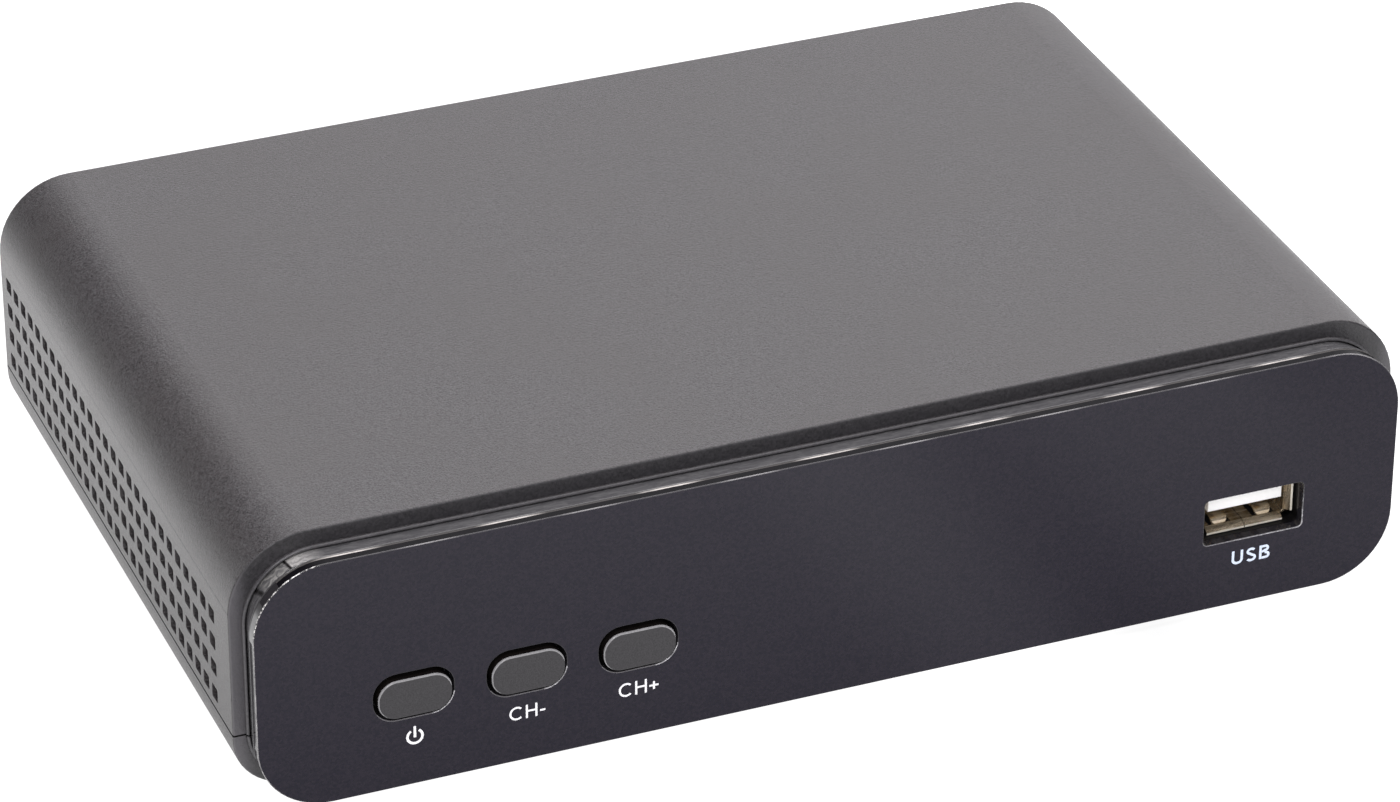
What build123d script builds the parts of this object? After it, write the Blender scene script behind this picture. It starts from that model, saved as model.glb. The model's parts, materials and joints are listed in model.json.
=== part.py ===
from build123d import *
import os
from math import asin, cos, degrees, radians, sin

os.makedirs("parts", exist_ok=True)

# ---------------------------------------------------------------------------
# Desktop satellite television receiver.  Millimetres, +Z up, front faces -Y.
# Origin: centre of the footprint of the whole object, on the table it rests on.
# ---------------------------------------------------------------------------

# ---- driving dimensions ---------------------------------------------------
FRONT_Y = -60.5          # outer face of the clear front window
FOOT_H = 2.2             # rubber feet lift the housing by this much
HOUSE_W = 169.2          # housing width
HOUSE_Z0 = FOOT_H        # underside of the housing
HOUSE_Z1 = 40.38         # top of the housing
HOUSE_Y0 = -55.15        # front edge of the housing
HOUSE_Y1 = 50.8          # back edge of the housing
HOUSE_RT = 10.87         # upper corner radius
HOUSE_RB = 8.0           # lower corner radius
WALL = 2.0               # moulded wall
SEAM_Z = 11.1            # parting line between upper and lower shell
SEAM_GAP = 0.25

WIN_W = 166.0            # clear front window
WIN_Z0 = 1.35
WIN_Z1 = 38.22
WIN_R = 10.2
WIN_T = 1.5
MASK_T = 0.2             # printed film behind the window
BEZ_Y0 = FRONT_Y + WIN_T + MASK_T     # front of the bezel carrier
BEZ_Y1 = -54.6           # end of its tapered side
BEZ_IN = 0.95            # how far its tapered side draws in
LIP_OUT, LIP_IN = 0.15, 0.60          # lip round the front opening, inside the window's outline
LIP_PROUD = 0.5
BOT_IN = 0.7             # extra draw-in along the bottom edge
BEZ_WALL = 1.8
PLUG_Y1 = -52.5          # end of the plug that enters the housing

BTN_X = (-61.3, -45.45, -29.65)
BTN_Z = 15.45
BTN_HOLE = (11.25, 7.1, 3.2)
BTN_CAP = (10.3, 5.85, 2.65)
BTN_PROUD = 0.7
BTN_TRAVEL = 0.5

USB_X, USB_Z = 61.45, 15.28
USB_WIN = (15.1, 7.17, 0.7)            # opening in the window, its centre 0.06 above the socket's

BOARD_Z0, BOARD_Z1 = 10.8, 12.4
FB_Y0, FB_Y1 = -48.7, -47.1           # upright front board

VENT_W, VENT_H, VENT_R = 2.35, 2.1, 0.3
VENT_PITCH_Y, VENT_PITCH_Z = 3.613, 4.12
VENT_NY, VENT_NZ = 27, 4
VENT_Y0, VENT_Z0 = -47.75, 13.55

FCON_X, FCON_Z, FCON_TIP = -48.0, 19.9, 61.2
RCA_X, RCA_Z = 2.0, 18.4
AV_X, AV_Z = -16.0, 15.6
DVP_X = 24.0
DC_X, DC_Z = 52.0, 18.4

CASE_SCREWS = [(-73.0, -40.0), (73.0, -40.0), (-73.0, 40.0), (73.0, 40.0)]
BOARD_SCREWS = [(-62.0, -40.0), (60.0, -36.0), (-26.5, 40.0), (39.5, 40.0)]
FB_SCREWS = [(-71.5, 28.0), (-19.5, 28.0)]
FEET = [(-62.0, -46.0), (62.0, -46.0), (-62.0, 43.0), (62.0, 43.0)]


# ---- helpers ----------------------------------------------------------------
def bx(x0, x1, y0, y1, z0, z1):
    return Pos((x0 + x1) / 2, (y0 + y1) / 2, (z0 + z1) / 2) * Box(x1 - x0, y1 - y0, z1 - z0)


def cz(x, y, z0, z1, r):
    return Pos(x, y, (z0 + z1) / 2) * Cylinder(r, z1 - z0)


def cy(x, z, y0, y1, r):
    return Pos(x, (y0 + y1) / 2, z) * Rot(90, 0, 0) * Cylinder(r, y1 - y0)


def xz(y):
    return Plane(origin=(0, y, 0), x_dir=(1, 0, 0), z_dir=(0, -1, 0))


def prism(sk, y0, y1):
    """extrude a sketch drawn in x,z from y0 to y1"""
    return extrude(xz(y1) * sk, amount=y1 - y0)


def rr(cx, cz_, w, h, r):
    return Pos(cx, cz_) * RectangleRounded(w, h, r)


def outline(x0, x1, z0, z1, rt, rb):
    sk = Pos((x0 + x1) / 2, (z0 + z1) / 2) * Rectangle(x1 - x0, z1 - z0)
    sk = fillet(sk.vertices().group_by(Axis.Y)[-1], rt)
    sk = fillet(sk.vertices().group_by(Axis.Y)[0], rb)
    return sk


def house(i):
    return outline(-HOUSE_W / 2 + i, HOUSE_W / 2 - i, HOUSE_Z0 + i, HOUSE_Z1 - i,
                   HOUSE_RT - i, HOUSE_RB - i)


def win(i):
    r = max(WIN_R - i, 0.5)
    return rr(0, (WIN_Z0 + WIN_Z1) / 2, WIN_W - 2 * i, WIN_Z1 - WIN_Z0 - 2 * i, r)


def opening(i, extra=BOT_IN):
    """window outline drawn in by i, and by a little more along its bottom edge"""
    return outline(-WIN_W / 2 + i, WIN_W / 2 - i, WIN_Z0 + i + extra, WIN_Z1 - i,
                   WIN_R - i, WIN_R - i - extra)


def edges_at_y(solid, y):
    return [e for e in solid.edges()
            if abs(e.bounding_box().min.Y - y) < 1e-3 and abs(e.bounding_box().max.Y - y) < 1e-3]


def edges_at_z(solid, z):
    return [e for e in solid.edges()
            if abs(e.bounding_box().min.Z - z) < 1e-3 and abs(e.bounding_box().max.Z - z) < 1e-3]


def soften(solid, edges, r):
    try:
        out = fillet(edges, r)
        if out.is_valid and abs(out.volume - solid.volume) < 0.2 * abs(solid.volume):
            return out
    except Exception as err:
        print("fillet skipped", r, err)
    return solid


NODES = {}


def node(name, shape):
    NODES[name] = shape


# ---- housing shells -----------------------------------------------------------
outer = prism(house(0), HOUSE_Y0, HOUSE_Y1)
outer = soften(outer, edges_at_y(outer, HOUSE_Y1), 1.0)
outer = soften(outer, edges_at_y(outer, HOUSE_Y0), 0.3)

shell = outer - prism(house(WALL), HOUSE_Y0 + 2.0, HOUSE_Y1 - 2.0)
shell -= prism(opening(LIP_IN), HOUSE_Y0 - 1, HOUSE_Y0 + 2.5)
shell -= prism(house(5.0), HOUSE_Y1 - 3.0, HOUSE_Y1 + 1.0)

# small forward-standing lip round the front opening
LIP_Y = HOUSE_Y0 - LIP_PROUD
lip = prism(win(LIP_OUT), LIP_Y, HOUSE_Y0 + 0.8) & prism(house(0.5), HOUSE_Y0 - 1, HOUSE_Y0 + 0.8)
lip = soften(lip, edges_at_y(lip, LIP_Y), 0.3)
lip -= prism(opening(LIP_IN), HOUSE_Y0 - 1, HOUSE_Y0 + 1)
lip -= loft([xz(LIP_Y - 0.02) * opening(LIP_IN - 0.14), xz(LIP_Y + 0.12) * opening(LIP_IN)])
shell += lip

cover = shell & bx(-90, 90, -70, 70, SEAM_Z + SEAM_GAP / 2, 60)
tray = shell & bx(-90, 90, -70, 70, 0, SEAM_Z - SEAM_GAP / 2)

# rebate and tongue along both side walls
xi = HOUSE_W / 2 - WALL
for s in (-1, 1):
    a, b = sorted((s * (xi - 0.5), s * (xi + 0.95)))
    cover -= bx(a, b, -52.5, 48.3, SEAM_Z - 1, SEAM_Z + 1.1)
    a, b = sorted((s * xi, s * (xi + 0.8)))
    tray += bx(a, b, -52.0, 47.8, SEAM_Z - 0.6, SEAM_Z + 0.9)

# side vents, one grid of rounded slots in each side wall
holes = []
for k in range(VENT_NY):
    for j in range(VENT_NZ):
        holes.append((VENT_Y0 + k * VENT_PITCH_Y, VENT_Z0 + j * VENT_PITCH_Z))
yz = Plane(origin=(-HOUSE_W / 2 - 1, 0, 0), x_dir=(0, 1, 0), z_dir=(1, 0, 0))
vent_sk = Sketch() + [Pos(y, z) * RectangleRounded(VENT_W, VENT_H, VENT_R) for y, z in holes]
left_cut = extrude(yz * vent_sk, amount=WALL + 1.6)
right_cut = mirror(left_cut, Plane.YZ)
cover -= left_cut
cover -= right_cut

# screw posts of the upper shell
for x, y in CASE_SCREWS:
    cover += cz(x, y, SEAM_Z + 0.4, HOUSE_Z1 - 1.0, 3.25)
    cover -= cz(x, y, SEAM_Z, 26.0, 1.5)
# ribs that hold the rear panel against the back frame
for x in (-45.0, 45.0):
    cover += bx(x - 12, x + 12, 45.6, 46.9, 36.2, HOUSE_Z1 - 1.5)
    tray += bx(x - 12, x + 12, 45.6, 46.9, HOUSE_Z0 + 1.5, 6.6)

# lower shell: posts, recesses, vents, snap windows
for x, y in CASE_SCREWS:
    tray += cz(x, y, HOUSE_Z0 + 1.0, SEAM_Z, 4.2)
    tray -= cz(x, y, HOUSE_Z0 - 1, 6.4, 3.1)
    tray -= cz(x, y, 6.0, SEAM_Z + 1, 1.7)
for x, y in BOARD_SCREWS:
    tray += cz(x, y, HOUSE_Z0 + 1.0, BOARD_Z0, 3.2)
    tray -= cz(x, y, HOUSE_Z0 + 1.4, BOARD_Z0 + 1, 1.5)
for x, y in FEET:
    tray -= cz(x, y, HOUSE_Z0 - 1, HOUSE_Z0 + 0.5, 5.15)
slot_sk = Sketch() + [Pos(x, y) * SlotOverall(15.0, 2.2, rotation=90)
                      for y in (-22.0, 0.0, 22.0) for x in [-42 + 6 * i for i in range(15)]]
tray -= extrude(Plane(origin=(0, 0, HOUSE_Z0 - 1), x_dir=(1, 0, 0), z_dir=(0, 0, 1)) * slot_sk, amount=WALL + 2)
SNAP_X = (-52.0, 30.0)
for x in SNAP_X:
    tray -= bx(x - 4.6, x + 4.6, -51.6, -48.9, HOUSE_Z0 - 1, HOUSE_Z0 + 3)

node("top_cover", cover)
node("bottom_cover", tray)

# ---- rear panel ------------------------------------------------------------------
PAN_Y0, PAN_Y1 = 47.1, 48.6
panel = prism(house(WALL + 0.25), PAN_Y0, PAN_Y1)
panel -= cy(FCON_X, FCON_Z, 40, 60, 4.65)
panel -= prism(rr(DVP_X, 15.35, 15.3, 6.2, 0.5), 40, 60)
panel -= cy(RCA_X, RCA_Z, 40, 60, 4.85)
panel -= cy(AV_X, AV_Z, 40, 60, 3.1)
panel -= prism(rr(DC_X, 17.95, 9.4, 11.4, 0.4), 40, 60)
node("rear_panel", panel)

# ---- front bezel carrier ------------------------------------------------------------
bezel = loft([xz(BEZ_Y0) * opening(0.0, 0.0), xz(BEZ_Y1) * opening(BEZ_IN, BOT_IN + 0.25)])
bezel = soften(bezel, edges_at_y(bezel, BEZ_Y0), 0.2)
bezel += prism(win(3.2), BEZ_Y1 - 0.5, PLUG_Y1)
bezel -= prism(win(4.8), BEZ_Y0 + BEZ_WALL, PLUG_Y1 + 1)
for x in BTN_X:
    bezel += prism(rr(x, BTN_Z, 15.2, 11.0, 4.6), BEZ_Y0 + BEZ_WALL - 0.3, -53.4)
    bezel -= prism(rr(x, BTN_Z, 13.2, 9.0, 3.9), BEZ_Y0 + BEZ_WALL, -50)
    bezel -= prism(rr(x, BTN_Z, *BTN_HOLE), BEZ_Y0 - 1, -50)
bezel -= prism(rr(USB_X, USB_Z + 0.06, 15.3, 7.42, 0.8), BEZ_Y0 - 1, -50)
IR_X, IR_Z = -36.0, 27.0
LED_X, LED_Z = -61.3, 22.6
bezel -= cy(IR_X, IR_Z, -60, -50, 3.4)
bezel -= cy(LED_X, LED_Z, -60, -50, 1.8)
for x, z in FB_SCREWS:
    bezel += cy(x, z, BEZ_Y0 + BEZ_WALL - 0.3, FB_Y0, 2.7)
    bezel -= cy(x, z, -56.0, FB_Y0 + 1, 1.15)
# snap hooks: three up, two down
for x in (-52.0, 0.0, 52.0):
    bezel += bx(x - 4, x + 4, PLUG_Y1 - 2.0, -50.4, WIN_Z1 - 4.8, WIN_Z1 - 3.2)
    bezel += bx(x - 4, x + 4, -52.9, -51.6, WIN_Z1 - 3.3, WIN_Z1 - 0.25)
for x in SNAP_X:
    bezel += bx(x - 4, x + 4, PLUG_Y1 - 2.0, -49.4, WIN_Z0 + 3.2, WIN_Z0 + 4.8)
    bezel += bx(x - 4, x + 4, -51.1, -49.4, HOUSE_Z0 + 0.6, WIN_Z0 + 3.4)
node("front_bezel", bezel)

# ---- clear front window and printed film behind it ---------------------------------------
window = prism(win(0), FRONT_Y, FRONT_Y + WIN_T)
mask = prism(win(0.2), FRONT_Y + WIN_T, BEZ_Y0)
for x in BTN_X:
    cut = prism(rr(x, BTN_Z, *BTN_HOLE), FRONT_Y - 1, BEZ_Y0 + 1)
    window -= cut
    mask -= cut
cut = prism(rr(USB_X, USB_Z + 0.06, *USB_WIN), FRONT_Y - 1, BEZ_Y0 + 1)
window -= cut
mask -= cut
window = soften(window, edges_at_y(window, FRONT_Y), 0.12)
node("front_window", window)
node("window_mask", mask)

# ---- push buttons, tact switches and their plungers ----------------------------------------
SW_Y0 = -52.2
names = ("power", "channel_down", "channel_up")
switches = []
for nm, x in zip(names, BTN_X):
    cap = prism(rr(x, BTN_Z, *BTN_CAP), FRONT_Y - BTN_PROUD, -56.7)
    cap = soften(cap, edges_at_y(cap, FRONT_Y - BTN_PROUD), 0.25)
    b = cap + prism(rr(x, BTN_Z, 12.4, 8.2, 3.5), -56.7, -55.9)
    b += cy(x, BTN_Z, -55.9, -53.7, 1.6)
    node(nm + "_button", b)
    node(nm + "_switch_plunger", cy(x, BTN_Z, -53.7, -51.0, 1.7))
    s = prism(rr(x, BTN_Z, 6.0, 6.0, 0.4), SW_Y0, FB_Y0)
    s -= cy(x, BTN_Z, SW_Y0 - 1, -50.2, 2.05)
    switches.append(s)
node("switch_bodies", Compound(children=switches))

# ---- upright front board ----------------------------------------------------------------------
PIN_X = [-25.0 + 2.54 * i for i in range(5)]
PIN_Z = 13.7
fboard = prism(rr(-44.0, 20.0, 64.0, 25.0, 1.0), FB_Y0, FB_Y1)
for x, z in FB_SCREWS:
    fboard -= cy(x, z, -50, -46, 1.3)
for x in PIN_X:
    fboard -= cy(x, PIN_Z, -50, -46, 0.55)
node("front_board", fboard)
fbs = []
for x, z in FB_SCREWS:
    s = cy(x, z, -54.5, FB_Y1, 1.1) + cy(x, z, FB_Y1, FB_Y1 + 1.4, 2.2)
    s -= bx(x - 1.6, x + 1.6, FB_Y1 + 0.9, FB_Y1 + 2, z - 0.3, z + 0.3)
    s -= bx(x - 0.3, x + 0.3, FB_Y1 + 0.9, FB_Y1 + 2, z - 1.6, z + 1.6)
    fbs.append(s)
node("front_board_screws", Compound(children=fbs))

ir = prism(rr(IR_X, IR_Z, 5.6, 6.6, 0.4), -52.4, FB_Y0)
ir += Pos(IR_X, -52.4, IR_Z) * Sphere(2.3) & bx(IR_X - 5, IR_X + 5, -56, -52.3, IR_Z - 5, IR_Z + 5)
node("infrared_receiver", ir)
led = cy(LED_X, LED_Z, -56.3, FB_Y0, 1.45) + cy(LED_X, LED_Z, FB_Y0 - 1.0, FB_Y0, 1.9)
led = soften(led, edges_at_y(led, -56.3), 1.2)
node("status_led", led)

# ---- main board ----------------------------------------------------------------------------------
mb = bx(-66, 66, -46.4, 46.2, BOARD_Z0, BOARD_Z1) + bx(48, 72.5, -53.6, -46.0, BOARD_Z0, BOARD_Z1)
mb -= bx(66, 80, -46.4, -30, 0, 20) & bx(69, 80, -46.4, -30, 0, 20)
for x, y in BOARD_SCREWS:
    mb -= cz(x, y, 5, 20, 1.6)
for x in PIN_X:
    mb -= cz(x, -44.52, 5, 20, 0.55)
node("main_board", mb)
bs = []
for x, y in BOARD_SCREWS:
    s = cz(x, y, 4.6, BOARD_Z1, 1.45) + cz(x, y, BOARD_Z1, BOARD_Z1 + 1.9, 2.7)
    s = soften(s, edges_at_z(s, BOARD_Z1 + 1.9), 0.7)
    s -= bx(x - 1.7, x + 1.7, y - 0.35, y + 0.35, BOARD_Z1 + 1.1, BOARD_Z1 + 3)
    s -= bx(x - 0.35, x + 0.35, y - 1.7, y + 1.7, BOARD_Z1 + 1.1, BOARD_Z1 + 3)
    bs.append(s)
node("board_screws", Compound(children=bs))

# link between the two boards: moulded strip and bent square pins
pins = []
for x in PIN_X:
    p = bx(x - 0.32, x + 0.32, -49.1, -44.2, PIN_Z - 0.32, PIN_Z + 0.32)
    p += bx(x - 0.32, x + 0.32, -44.84, -44.2, 9.9, PIN_Z)
    pins.append(p)
strip = bx(PIN_X[0] - 1.27, PIN_X[-1] + 1.27, -46.2, -43.6, BOARD_Z1 + 0.05, BOARD_Z1 + 2.6)
for p in pins:
    strip -= p
node("board_link_strip", strip)
node("board_link_pins", Compound(children=pins))

# ---- USB socket ------------------------------------------------------------------------------------------
UY0 = FRONT_Y + 2.5          # front rim of the metal shell
UY1 = UY0 + 13.6
ow, oh, iw, ih = 13.1, 5.7, 12.5, 5.12
FL = 0.9                     # length of the flared rim
ush = prism(rr(USB_X, USB_Z, ow, oh, 0.6), UY0 + FL, UY1) - prism(rr(USB_X, USB_Z, iw, ih, 0.35), UY0 - 1, UY1 - 0.4)
flare_o = loft([xz(UY0) * rr(USB_X, USB_Z, 14.5, 6.95, 0.5), xz(UY0 + FL) * rr(USB_X, USB_Z, ow, oh, 0.5)])
flare_i = loft([xz(UY0 - 0.01) * rr(USB_X, USB_Z, 13.9, 6.38, 0.35), xz(UY0 + FL + 0.01) * rr(USB_X, USB_Z, iw, ih, 0.35)])
flare = flare_o - flare_i
for sx in (-1, 1):
    for sz in (-1, 1):
        flare -= Pos(USB_X + sx * 6.75, UY0, USB_Z + sz * 3.05) * Box(1.9, 2 * FL - 0.1, 1.5)
ush += flare
# leaf springs: slotted tongues in the floor and roof of the shell, arched inwards
for sgn, zin, rise in ((1, USB_Z - ih / 2, 0.85), (-1, USB_Z + ih / 2, 0.30)):
    t, r, yc = 0.22, 1.5, UY0 + 2.45
    up_, lo = [], []
    a0 = 180 - degrees(asin((r - rise - 0.05) / r))
    for i in range(13):
        a = radians(a0 + (60 - a0) * i / 12)
        up_.append((yc + r * cos(a), zin + sgn * (rise - r + r * sin(a))))
        lo.append((yc + (r - t) * cos(a), zin + sgn * (rise - r + (r - t) * sin(a))))
    up_.append((UY0 + 8.5, zin - sgn * 0.05))
    lo.append((UY0 + 8.5, zin - sgn * (0.05 + t)))
    for sx in (-1, 1):
        xc = USB_X + sx * 3.35
        zlo, zhi = sorted((zin - sgn * 0.5, zin + sgn * 0.1))
        ush -= bx(xc - 1.65, xc + 1.65, UY0 + 1.0, UY0 + 8.4, zlo, zhi)
        pl = Plane(origin=(xc - 1.25, 0, 0), x_dir=(0, 1, 0), z_dir=(1, 0, 0))
        leaf = extrude(pl * make_face(Polyline(*(up_ + lo[::-1]), close=True)), amount=2.5)
        plan = Plane(origin=(xc, yc + r * cos(radians(a0)) + 5.0, zin - 3), x_dir=(1, 0, 0), z_dir=(0, 0, 1))
        ush += leaf & extrude(plan * RectangleRounded(2.5, 10.0, 0.6), amount=6)
# butt joint of the rolled shell, in the middle of its floor
ush -= bx(USB_X - 0.06, USB_X + 0.06, UY0 - 0.5, UY0 + 9.0, USB_Z - oh / 2 - 1.0, USB_Z - ih / 2 + 0.1)
node("usb_shell", ush)
tz0 = USB_Z - ih / 2 + 2.62
tongue = bx(USB_X - 5.65, USB_X + 5.65, UY0 + 0.3, UY1 - 2.6, tz0, tz0 + 1.84)
tongue = soften(tongue, [e for e in tongue.edges() if abs(e.center().Y - (UY0 + 0.3)) < 1e-3], 0.12)
tongue += bx(USB_X - 5.9, USB_X + 5.9, UY1 - 3.0, UY1 - 0.6, USB_Z - ih / 2 + 0.15, USB_Z + ih / 2 - 0.15)
CX = (-3.5, -1.0, 1.0, 3.5)
contacts = []
for c in CX:
    p = bx(USB_X + c - 0.45, USB_X + c + 0.45, UY0 + 1.5, UY1 - 3.0, tz0 - 0.2, tz0 + 0.25)
    tongue -= p
    contacts.append(p)
node("usb_tongue", tongue)
node("usb_contacts", Compound(children=contacts))

# ---- tuner and antenna input -----------------------------------------------------------------------------------
can = bx(-62, -34, 9, 45.0, BOARD_Z1 + 0.05, BOARD_Z1 + 13.5)
can = soften(can, [e for e in can.edges() if abs(e.center().Z - (BOARD_Z1 + 13.5)) < 1e-3
                   or e.bounding_box().size.Z > 10], 0.6)
can -= bx(-61.4, -34.6, 9.6, 44.4, BOARD_Z1 - 1, BOARD_Z1 + 12.9)
for i in range(4):
    can -= cz(-58 + i * 6.7, 15.0, 20, 30, 0.9)
node("tuner_can", can)
FCON_FREE = 51.4         # start of the free thread, outside the nut
fc = cy(FCON_X, FCON_Z, 45.0, FCON_FREE, 4.45) + cy(FCON_X, FCON_Z, 45.0, 46.9, 5.6)
fc += cy(FCON_X, FCON_Z, FCON_FREE, FCON_TIP, 4.76)
fc -= cy(FCON_X, FCON_Z, 48.0, FCON_TIP + 1, 3.3)
for i in range(10):
    yy = 51.9 + i * 0.95
    ring = cy(FCON_X, FCON_Z, yy, yy + 0.35, 5.2) - cy(FCON_X, FCON_Z, yy - 1, yy + 1, 4.45)
    fc -= ring
node("antenna_connector", fc)
ins = cy(FCON_X, FCON_Z, 48.0, FCON_TIP - 0.6, 3.3) - cy(FCON_X, FCON_Z, 49.0, FCON_TIP + 1, 0.55)
ins = soften(ins, edges_at_y(ins, FCON_TIP - 0.6)[:1], 0.3)
node("antenna_insulator", ins)
hexn = prism(Pos(FCON_X, FCON_Z) * RegularPolygon(6.35, 6, major_radius=False), PAN_Y1 + 0.55, PAN_Y1 + 2.6)
hexn -= cy(FCON_X, FCON_Z, 40, 70, 4.5)
node("antenna_nut", hexn)
node("antenna_washer", cy(FCON_X, FCON_Z, PAN_Y1, PAN_Y1 + 0.55, 6.6) - cy(FCON_X, FCON_Z, 40, 70, 4.55))

# ---- 19-pin digital video port ---------------------------------------------------------------------------------------------------
def hd(w, h, ch):
    pts = [(-w / 2, h), (w / 2, h), (w / 2, ch), (w / 2 - ch * 0.9, 0), (-w / 2 + ch * 0.9, 0), (-w / 2, ch)]
    return Pos(DVP_X, 0) * make_face(Polyline(*pts, close=True))


HZ = BOARD_Z1 + 0.1
hs = prism(Pos(0, HZ) * hd(14.9, 5.5, 1.9), 37.0, 49.4) - prism(Pos(0, HZ + 0.35) * hd(14.2, 4.8, 1.7), 38.0, 51)
node("video_port_shell", hs)
ht = bx(DVP_X - 6.2, DVP_X + 6.2, 40.2, 48.6, HZ + 2.4, HZ + 3.4) + bx(DVP_X - 5.2, DVP_X + 5.2, 38.0, 40.4, HZ + 0.5, HZ + 5.1)
node("video_port_tongue", ht)

# ---- coaxial digital audio socket ---------------------------------------------------------------------------------
rb = bx(RCA_X - 5, RCA_X + 5, 35.5, 47.0, BOARD_Z1 + 0.05, BOARD_Z1 + 11.2)
rb = soften(rb, [e for e in rb.edges() if abs(e.center().Z - (BOARD_Z1 + 11.2)) < 1e-3], 0.6)
rb += cy(RCA_X, RCA_Z, 46.5, 57.6, 2.9)
rb -= cy(RCA_X, RCA_Z, 45.0, 60, 1.6)
node("audio_socket_body", rb)
rs = cy(RCA_X, RCA_Z, 47.0, 58.2, 4.15) + cy(RCA_X, RCA_Z, 47.0, 49.0, 4.7)
rs -= cy(RCA_X, RCA_Z, 46, 60, 3.1)
rs = soften(rs, [max(edges_at_y(rs, 58.2), key=lambda e: e.length)], 0.3)
node("audio_socket_sleeve", rs)

# ---- 3.5 mm video socket --------------------------------------------------------------------------------------------
av = bx(AV_X - 3.3, AV_X + 3.3, 36.5, 47.9, BOARD_Z1 + 0.05, BOARD_Z1 + 6.2) & bx(AV_X - 9, AV_X + 9, 30, 46.9, 0, 40)
av += cy(AV_X, AV_Z, 46.5, 50.6, 2.9)
av -= cy(AV_X, AV_Z, 38.5, 60, 1.8)
node("video_socket", av)

# ---- power inlet ------------------------------------------------------------------------------------------------------
dj = bx(DC_X - 4.5, DC_X + 4.5, 35.4, 49.3, BOARD_Z1 + 0.05, BOARD_Z1 + 11.0)
dj = soften(dj, edges_at_y(dj, 49.3), 0.4)
dj -= cy(DC_X, DC_Z, 39.8, 60, 3.15)
dj -= cy(DC_X, DC_Z, 36.0, 60, 1.05)
node("power_inlet", dj)
dp = cy(DC_X, DC_Z, 36.0, 47.6, 1.05)
dp = soften(dp, edges_at_y(dp, 47.6), 0.4)
node("power_inlet_pin", dp)

# ---- parts on the main board --------------------------------------------------------------------------------------------
PX, PY = 8.0, -8.0
node("processor", bx(PX - 9.5, PX + 9.5, PY - 9.5, PY + 9.5, BOARD_Z1, BOARD_Z1 + 1.5))
node("thermal_pad", bx(PX - 8.5, PX + 8.5, PY - 8.5, PY + 8.5, BOARD_Z1 + 1.5, BOARD_Z1 + 2.0))
hsk = bx(PX - 14, PX + 14, PY - 14, PY + 14, BOARD_Z1 + 2.0, BOARD_Z1 + 12.0)
for i in range(8):
    xx = PX - 14 + 1.0 + i * 3.4
    hsk -= bx(xx, xx + 2.2, PY - 15, PY + 15, BOARD_Z1 + 4.0, BOARD_Z1 + 13.0)
node("heat_sink", hsk)
node("memory_chips", Compound(children=[
    bx(-20, -10, -14, -2, BOARD_Z1, BOARD_Z1 + 1.1), bx(-34, -24, -14, -2, BOARD_Z1, BOARD_Z1 + 1.1)]))
node("flash_chip", bx(2, 10, 12, 17, BOARD_Z1, BOARD_Z1 + 1.7))
caps = []
for x, y, r, h in ((38, 20, 4.0, 12.0), (49, 24, 4.0, 12.0), (57, 14, 3.15, 11.0), (40, 8, 3.15, 11.0), (-8, 24, 3.15, 11.0)):
    c = cz(x, y, BOARD_Z1 + 0.1, BOARD_Z1 + h, r)
    c = soften(c, c.edges().filter_by(GeomType.CIRCLE), 0.4)
    g = cz(x, y, BOARD_Z1 + 1.6, BOARD_Z1 + 2.3, r + 1) - cz(x, y, BOARD_Z1, BOARD_Z1 + 4, r - 0.25)
    caps.append(c - g)
node("capacitors", Compound(children=caps))
coils = []
for x, y in ((38, -10), (49, -10), (49, 2)):
    c = bx(x - 3.6, x + 3.6, y - 3.6, y + 3.6, BOARD_Z1, BOARD_Z1 + 4.2)
    c = soften(c, c.edges().filter_by(Axis.Z), 1.2)
    coils.append(c)
node("power_coils", Compound(children=coils))

# ---- feet and screws --------------------------------------------------------------------------------------------------------
feet = []
for x, y in FEET:
    f = cz(x, y, 0, HOUSE_Z0 + 0.5, 5.0)
    f = soften(f, edges_at_z(f, 0), 0.6)
    feet.append(f)
node("rubber_feet", Compound(children=feet))
cs = []
for x, y in CASE_SCREWS:
    s = cz(x, y, 4.1, 6.4, 2.75) + cz(x, y, 6.4, 22.0, 1.45)
    s = soften(s, edges_at_z(s, 22.0), 0.7)
    s -= bx(x - 1.8, x + 1.8, y - 0.4, y + 0.4, 4.0, 5.2)
    s -= bx(x - 0.4, x + 0.4, y - 1.8, y + 1.8, 4.0, 5.2)
    cs.append(s)
node("case_screws", Compound(children=cs))

for name, shape in NODES.items():
    export_step(shape, "parts/%s.step" % name)
print(len(NODES), "nodes")
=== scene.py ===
import bpy
import json
import math
from mathutils import Matrix, Vector


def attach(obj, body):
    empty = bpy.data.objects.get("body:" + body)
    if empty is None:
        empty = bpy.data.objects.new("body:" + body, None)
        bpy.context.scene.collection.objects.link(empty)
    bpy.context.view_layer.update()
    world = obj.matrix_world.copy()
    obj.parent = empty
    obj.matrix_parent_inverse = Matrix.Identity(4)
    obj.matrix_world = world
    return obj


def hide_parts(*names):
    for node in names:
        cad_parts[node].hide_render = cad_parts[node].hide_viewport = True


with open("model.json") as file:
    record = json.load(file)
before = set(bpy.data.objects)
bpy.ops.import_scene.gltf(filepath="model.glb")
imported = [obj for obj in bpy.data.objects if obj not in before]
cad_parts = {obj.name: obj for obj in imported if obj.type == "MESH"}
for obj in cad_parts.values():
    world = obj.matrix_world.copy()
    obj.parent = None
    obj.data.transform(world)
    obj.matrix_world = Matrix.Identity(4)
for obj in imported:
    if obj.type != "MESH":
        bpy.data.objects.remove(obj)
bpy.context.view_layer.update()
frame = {"nodes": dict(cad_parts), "record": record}


N = frame["nodes"]
scene = bpy.context.scene

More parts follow.
